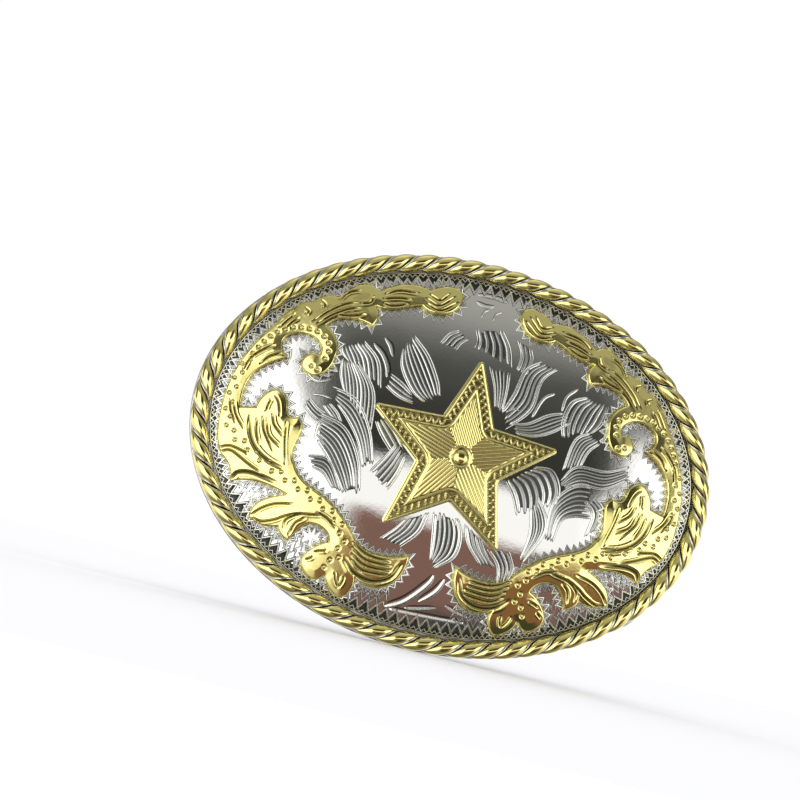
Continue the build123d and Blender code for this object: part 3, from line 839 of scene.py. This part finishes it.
prong_x, prong_lean = -33.0, radians(25)
pad_thick = 1.2
foot_radius, foot_length, stud_radius, stud_length = 2.5, 2.6, 2.0, 9.4
collar_radius, collar_thick, spigot_radius, spigot_length = 3.0, 0.8, 1.2, 2.2
tail_radius, tail_thick = 1.85, 0.8


def spun(root, way, profile, sides=56):
    """A turned shape: rings root + way * d + r (cos t e1 + sin t e2) for each (d, r) of the profile."""
    way = np.asarray(way, float)
    e1 = np.array([0.0, 0.0, 1.0])
    e2 = np.cross(way, e1)
    t = np.linspace(0, 2 * pi, sides, endpoint=False)[:, None]
    ring = np.cos(t) * e1 + np.sin(t) * e2
    return lathe(np.array([root + way * d + r * ring for d, r in profile]))


def rounded_end(length, radius, ease, count=8):
    """The last rows of a profile: a quarter circle of radius ease from the side round to the end face."""
    t = np.linspace(0, pi / 2, count)
    return list(zip(length - ease + ease * np.sin(t), radius - ease + ease * np.cos(t)))


stud = [(-0.3, foot_radius), (2.0, foot_radius)] + rounded_end(foot_length, foot_radius, 0.35)
stud += [(foot_length + 0.02, stud_radius + 0.02), (foot_length + 0.3, stud_radius)]
stud += rounded_end(stud_length, stud_radius, 1.2)
collar = [(0.0, collar_radius), (0.2, collar_radius)] + rounded_end(collar_thick, collar_radius, 0.3)
collar += [(collar_thick, 1.0)]
spigot = [(0.0, spigot_radius), (spigot_length, spigot_radius + 0.05)]
tail = [(0.0, spigot_radius), (0.05, tail_radius)] + rounded_end(tail_thick, tail_radius, 0.4)
root = np.array([prong_x, pad_thick, 0.0])
prong_shells = [
    spun(root, (sin(prong_lean), cos(prong_lean), 0.0), stud),
    spun(root, (0.0, 1.0, 0.0), collar),
    spun(root, (0.0, -1.0, 0.0), spigot),
    spun(root - (0.0, pad_thick + plate_thick, 0.0), (0.0, -1.0, 0.0), tail),
]
piece("prong_turned", joined(prong_shells), satin_nickel, "prong", sharp=40)

# ---- Bail --------------------------------------------------------
# The loop that the strap folds round: 3 mm steel wire bent to a rectangle with its ends butted inside the
# hinge barrel, polished, then nickel plated. It swings in the barrel.

low, high = (np.array(corner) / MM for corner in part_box("bail_loop"))
wire = (high[1] - low[1]) / 2
bend = 3.5
hinge_x, hinge_y = low[0] + wire, (low[1] + high[1]) / 2
bar_x, leg_z = high[0] - wire, high[2] - wire
bail_end_z = 9.5
end_ease = 0.8


def rounded(corners, radius, step=8):
    """A path with rounded corners: each gives way to an arc that meets both sides at their tangents."""
    p = np.asarray(corners, float)
    path = [p[:1]]
    for a, b, c in zip(p[:-2], p[1:-1], p[2:]):
        back, on = (a - b) / np.linalg.norm(a - b), (c - b) / np.linalg.norm(c - b)
        centre = b + radius * (back + on)
        turn = np.linspace(0, pi / 2, step + 1)[:, None]
        path.append(centre - radius * (on * np.cos(turn) + back * np.sin(turn)))
    return np.concatenate(path + [p[-1:]])


corners = [(hinge_x, bail_end_z), (hinge_x, leg_z), (bar_x, leg_z), (bar_x, -leg_z), (hinge_x, -leg_z),
           (hinge_x, -bail_end_z)]
flat = rounded(corners, bend)
run = length_along(flat)
flat = point_at(np.linspace(0, run[-1], 240), run, flat)
centre = np.stack([flat[:, 0], np.full(len(flat), hinge_y), flat[:, 1]], 1)
up = np.array([0.0, 1.0, 0.0])
across = np.cross(unit(np.gradient(centre, axis=0)), up)
turn = np.linspace(0, 2 * pi, 32, endpoint=False)[:, None]
wire_grid = centre[:, None] + wire * (np.cos(turn) * up + np.sin(turn) * across[:, None])
end_rings = centre[[0, -1], None] + end_ease * (wire_grid[[0, -1]] - centre[[0, -1], None])
wire_grid = np.concatenate([end_rings[:1], wire_grid, end_rings[1:]])
# Polished nickel: a slightly yellow mirror with soft swells where the wire was drawn and bent.
polished_nickel = plated("polished_nickel_plate", "#D8D3C8", "#6A645A", 0.10, 0.4, wave=0.10, worn=0.15)
piece("bail_wire_loop", lathe(wire_grid), polished_nickel, "bail_loop", body="bail", sharp=40)

# ---- Floor, light and camera -------------------------------------
# A plain white floor, and the soft boxes and grey boards of a product table drawn on the sky, so that
# polished metal has something to reflect from every side. Only the floor catches the shadow.

floor_mesh = bpy.data.meshes.new("floor")
reach, level = 3.0, -plate_b * MM
floor_mesh.from_pydata([(-reach, -reach, level), (reach, -reach, level), (reach, reach, level),
                        (-reach, reach, level)], [], [(0, 1, 2, 3)])
floor = bpy.data.objects.new("floor", floor_mesh)
bpy.context.scene.collection.objects.link(floor)
floor.visible_glossy = False
paper = bpy.data.materials.new("white_paper")
paper.use_nodes = True
shader = paper.node_tree.nodes["Principled BSDF"]
shader.inputs["Base Color"].default_value = linear("#FBFBFC")
shader.inputs["Roughness"].default_value = 1.0
shader.inputs["Specular IOR Level"].default_value = 0.0
floor_mesh.materials.append(paper)

world = bpy.data.worlds.new("studio")
bpy.context.scene.world = world
world.use_nodes = True
sky = world.node_tree
sky.nodes.clear()
axes = add(sky, "ShaderNodeSeparateXYZ", {0: add(sky, "ShaderNodeTexCoord").outputs["Generated"]})
front = add(sky, "ShaderNodeMath", {0: axes.outputs[1], 1: -1.0}, operation="MULTIPLY")
azimuth = add(sky, "ShaderNodeMath", {0: axes.outputs[0], 1: front.outputs[0]},
              operation="ARCTAN2").outputs[0]
elevation = add(sky, "ShaderNodeMath", {0: axes.outputs[2]}, operation="ARCSINE").outputs[0]


def soft_step(value, at, soft, rising):
    """0 to 1 smoothly over at - soft to at + soft, in degrees, or 1 to 0 when it isn't rising."""
    ends = (0.0, 1.0) if rising else (1.0, 0.0)
    return add(sky, "ShaderNodeMapRange", {
        "Value": value, "From Min": radians(at - soft), "From Max": radians(at + soft), "To Min": ends[0],
        "To Max": ends[1]}, interpolation_type="SMOOTHSTEP").outputs[0]


def board(under, colour, sides, soft, top_soft):
    """Lays a colour over the sky between two azimuths and two elevations, in degrees."""
    left, right, bottom, top = sides
    cover = soft_step(elevation, bottom, soft, True)
    for limit in (soft_step(elevation, top, top_soft, False), soft_step(azimuth, left, soft, True),
                  soft_step(azimuth, right, soft, False)):
        cover = add(sky, "ShaderNodeMath", {0: cover, 1: limit}, operation="MULTIPLY").outputs[0]
    return add(sky, "ShaderNodeMix", {0: cover, 6: under, 7: colour}, data_type="RGBA").outputs[2]


ramp = add(sky, "ShaderNodeValToRGB", {0: add(sky, "ShaderNodeMapRange", {
    "Value": elevation, "From Min": -pi / 2, "From Max": pi / 2}).outputs[0]})
stops = [(-90, "#5C5A58"), (-48, "#8C8A88"), (-30, "#E8E8EA"), (-12, "#FFFFFF"), (9, "#FFFFFF"),
         (17, "#A4A4A2"), (45, "#8C8C8C"), (62, "#B8B8BC"), (90, "#E8E8EC")]
for angle, _ in stops[1:-1]:
    ramp.color_ramp.elements.new(angle / 180 + 0.5)
for element, (angle, code) in zip(ramp.color_ramp.elements, stops):
    element.position, element.color = angle / 180 + 0.5, linear(code)
light = ramp.outputs[0]
# Each board: its colour, how bright it is, its left, right, bottom and top in degrees, and how softly its
# sides and its top end. Grey ones give the dome its dark middle, white ones its bright sides, and a brown
# one its foot.
boards = [
    ("#A2A29E", 1.0, (-30, 44, 20, 60), 6, 6),
    ("#FFFFFF", 1.9, (-60, -7, -30, 9), 5, 5),
    ("#FFFFFF", 1.7, (-60, -13, 0, 23), 5, 5),
    ("#FFFFFF", 1.9, (31, 62, -16, 15), 4, 5),
    ("#5A5B58", 1.0, (-11, 33, 4, 31), 4, 9),
    ("#343430", 1.0, (-7, 29, 0.8, 22), 2, 14),
    ("#84645A", 0.9, (-2, 44, -42, -11), 2.5, 2.0),
    ("#3C403E", 1.0, (12, 50, -62, -28), 4.0, 2.0),
    ("#50504C", 1.0, (66, 92, 0, 34), 3, 3),
    ("#50504C", 1.0, (-96, -70, -4, 30), 3, 3),
    ("#3E3E3A", 1.0, (118, 146, 2, 36), 3, 3),
    ("#50504C", 1.0, (-154, -126, 0, 30), 3, 3),
]
for code, gain, sides, soft, top_soft in boards:
    light = board(light, linear(code, gain), sides, soft, top_soft)
ray = add(sky, "ShaderNodeLightPath")
seen = add(sky, "ShaderNodeBackground", {"Color": light, "Strength": 1.1})
plain = add(sky, "ShaderNodeBackground", {"Color": linear("#FCFCFE"), "Strength": 1.05})
mixed = add(sky, "ShaderNodeMixShader", {0: ray.outputs["Is Glossy Ray"], 1: plain.outputs[0],
                                         2: seen.outputs[0]})
add(sky, "ShaderNodeOutputWorld", {"Surface": mixed.outputs[0]})

scene = bpy.context.scene
scene.view_settings.view_transform = "Standard"

camera_data = bpy.data.cameras.new("camera")
camera_data.lens, camera_data.sensor_width = 85, 36
camera = bpy.data.objects.new("camera", camera_data)
scene.collection.objects.link(camera)
scene.camera = camera
distance, side_on, below, lean = 0.338, radians(-10), radians(-5), radians(13.7)
aim = Vector((0, -0.0035, 0))
back = Vector((sin(side_on) * cos(below), -cos(side_on) * cos(below), sin(below)))
camera.location = aim + back * distance
look = (-back).to_track_quat("-Z", "Y").to_matrix().to_4x4()
roll = Matrix.Rotation(lean, 4, "Z")
right_of, below_of = radians(1.70), radians(1.69)
nudge = Matrix.Rotation(right_of, 4, "Y") @ Matrix.Rotation(below_of, 4, "X")
camera.matrix_world = Matrix.Translation(camera.location) @ look @ roll @ nudge
